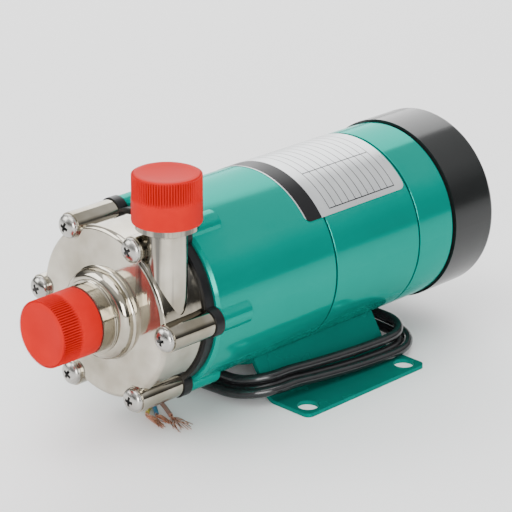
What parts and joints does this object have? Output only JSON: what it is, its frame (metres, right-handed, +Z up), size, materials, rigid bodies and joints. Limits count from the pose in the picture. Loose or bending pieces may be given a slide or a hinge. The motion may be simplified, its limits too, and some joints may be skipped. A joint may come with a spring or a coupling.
{
  "type": "magnetic drive pump",
  "caption": "Small magnetic drive centrifugal pump: steel pump head with capped threaded ports on a round fan-cooled motor, sheet foot, cable wound round the foot.",
  "frame": {"origin": "middle of the four foot holes, on the surface that the pump stands on", "axes": "+Z up, +Y along the pump axis from the inlet to the fan, +X towards the side of the outlet"},
  "size_m": [0.0868, 0.1922, 0.0971],
  "materials": {
    "green_paint": "glossy paint",
    "polished_steel": "polished casting",
    "bright_steel": "bright",
    "red_plastic": "soft moulded plastic",
    "grey_plastic": "satin",
    "black_plastic": "satin",
    "rubber": "matt",
    "cable_jacket": "satin",
    "brown_insulation": "satin",
    "blue_insulation": "satin",
    "earth_insulation": "satin",
    "core_steel": "oiled laminations",
    "magnet": "dark ferrite",
    "copper": "enamelled wire",
    "hard_white": "ground ceramic"
  },
  "bodies": {
    "pump": {"base": "green_paint", "base_screw_front": "bright_steel", "base_screw_rear": "bright_steel", "front_bracket": "green_paint", "motor_shell": "green_paint", "rear_ring": "green_paint", "fan_cover": "grey_plastic", "cover_screw_1": "bright_steel", "cover_screw_2": "bright_steel", "cover_screw_3": "bright_steel", "stator_core": "core_steel", "stator_winding": "copper", "front_bearing_outer": "bright_steel", "rear_bearing_outer": "bright_steel", "preload_washer": "bright_steel", "tie_bolt_1": "bright_steel", "tie_bolt_2": "bright_steel", "tie_bolt_3": "bright_steel", "tie_bolt_4": "bright_steel", "rear_casing": "black_plastic", "casing_seal": "rubber", "spindle": "hard_white", "spindle_support": "black_plastic", "front_thrust_ring": "hard_white", "rear_thrust_ring": "hard_white", "pump_casing": "polished_steel", "casing_screw_1": "polished_steel", "casing_screw_2": "polished_steel", "casing_screw_3": "polished_steel", "casing_screw_4": "polished_steel", "casing_screw_5": "polished_steel", "casing_screw_6": "polished_steel", "cable_sleeve": "rubber", "cable": "cable_jacket", "core_brown": "brown_insulation", "core_blue": "blue_insulation", "core_earth": "earth_insulation"},
    "rotor": {"rotor_core": "core_steel", "motor_shaft": "bright_steel", "front_bearing_inner": "bright_steel", "rear_bearing_inner": "bright_steel", "fan": "black_plastic", "magnet_hub": "core_steel", "drive_magnet": "magnet", "hub_set_screw": "bright_steel"},
    "impeller": {"impeller": "black_plastic", "impeller_magnet": "magnet", "impeller_bush": "hard_white"},
    "front_balls": {"front_bearing_balls": "bright_steel"},
    "rear_balls": {"rear_bearing_balls": "bright_steel"},
    "inlet_cap": {"inlet_cap": "red_plastic"},
    "outlet_cap": {"outlet_cap": "red_plastic"}
  },
  "joints": [
    {"name": "rotor_spin", "type": "hinge", "parent": "pump", "child": "rotor", "pos_m": [0, 0, 0.0434], "axis": [0, 1, 0], "continuous": true},
    {"name": "impeller_spin", "type": "hinge", "parent": "pump", "child": "impeller", "pos_m": [0, 0, 0.0434], "axis": [0, 1, 0], "continuous": true},
    {"name": "front_balls_spin", "type": "hinge", "parent": "pump", "child": "front_balls", "pos_m": [0, 0, 0.0434], "axis": [0, 1, 0], "continuous": true},
    {"name": "rear_balls_spin", "type": "hinge", "parent": "pump", "child": "rear_balls", "pos_m": [0, 0, 0.0434], "axis": [0, 1, 0], "continuous": true},
    {"name": "inlet_cap_pull", "type": "slide", "parent": "pump", "child": "inlet_cap", "axis": [0, -1, 0], "range_m": [0, 0.03]},
    {"name": "outlet_cap_pull", "type": "slide", "parent": "pump", "child": "outlet_cap", "axis": [0, 0, 1], "range_m": [0, 0.03]}
  ],
  "couplings": [
    {"joint": "impeller_spin", "follows": "rotor_spin", "ratio": 1},
    {"joint": "front_balls_spin", "follows": "rotor_spin", "ratio": 0.37},
    {"joint": "rear_balls_spin", "follows": "rotor_spin", "ratio": 0.37}
  ]
}
